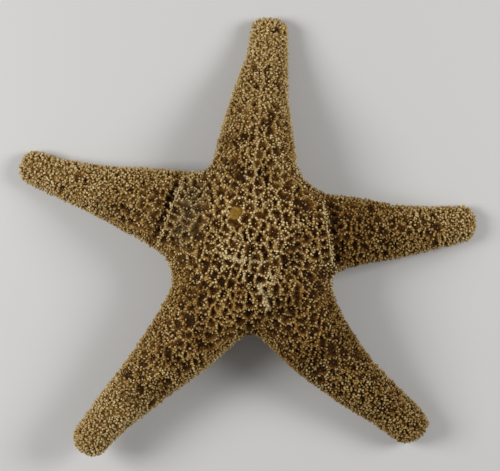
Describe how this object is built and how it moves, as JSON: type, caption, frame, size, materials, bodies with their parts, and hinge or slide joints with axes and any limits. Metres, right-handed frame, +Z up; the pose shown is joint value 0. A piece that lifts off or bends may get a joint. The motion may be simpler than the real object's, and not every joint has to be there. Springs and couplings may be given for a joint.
{
  "type": "dried starfish",
  "caption": "Dried sea star with tapering arms and a netted, spiny back, slightly arched so that it stands on its arm tips; a shelf or beach decoration.",
  "frame": {"origin": "on the ground, below the middle of the starfish's whole outline", "axes": "+Z up out of the spiny back, +Y towards the straightest arm, +X to its right seen from above"},
  "size_m": [0.2301, 0.2192, 0.0454],
  "materials": {
    "skin": "matte",
    "spines": "matte"
  },
  "bodies": {
    "root": {"starfish": "skin"}
  },
  "joints": []
}
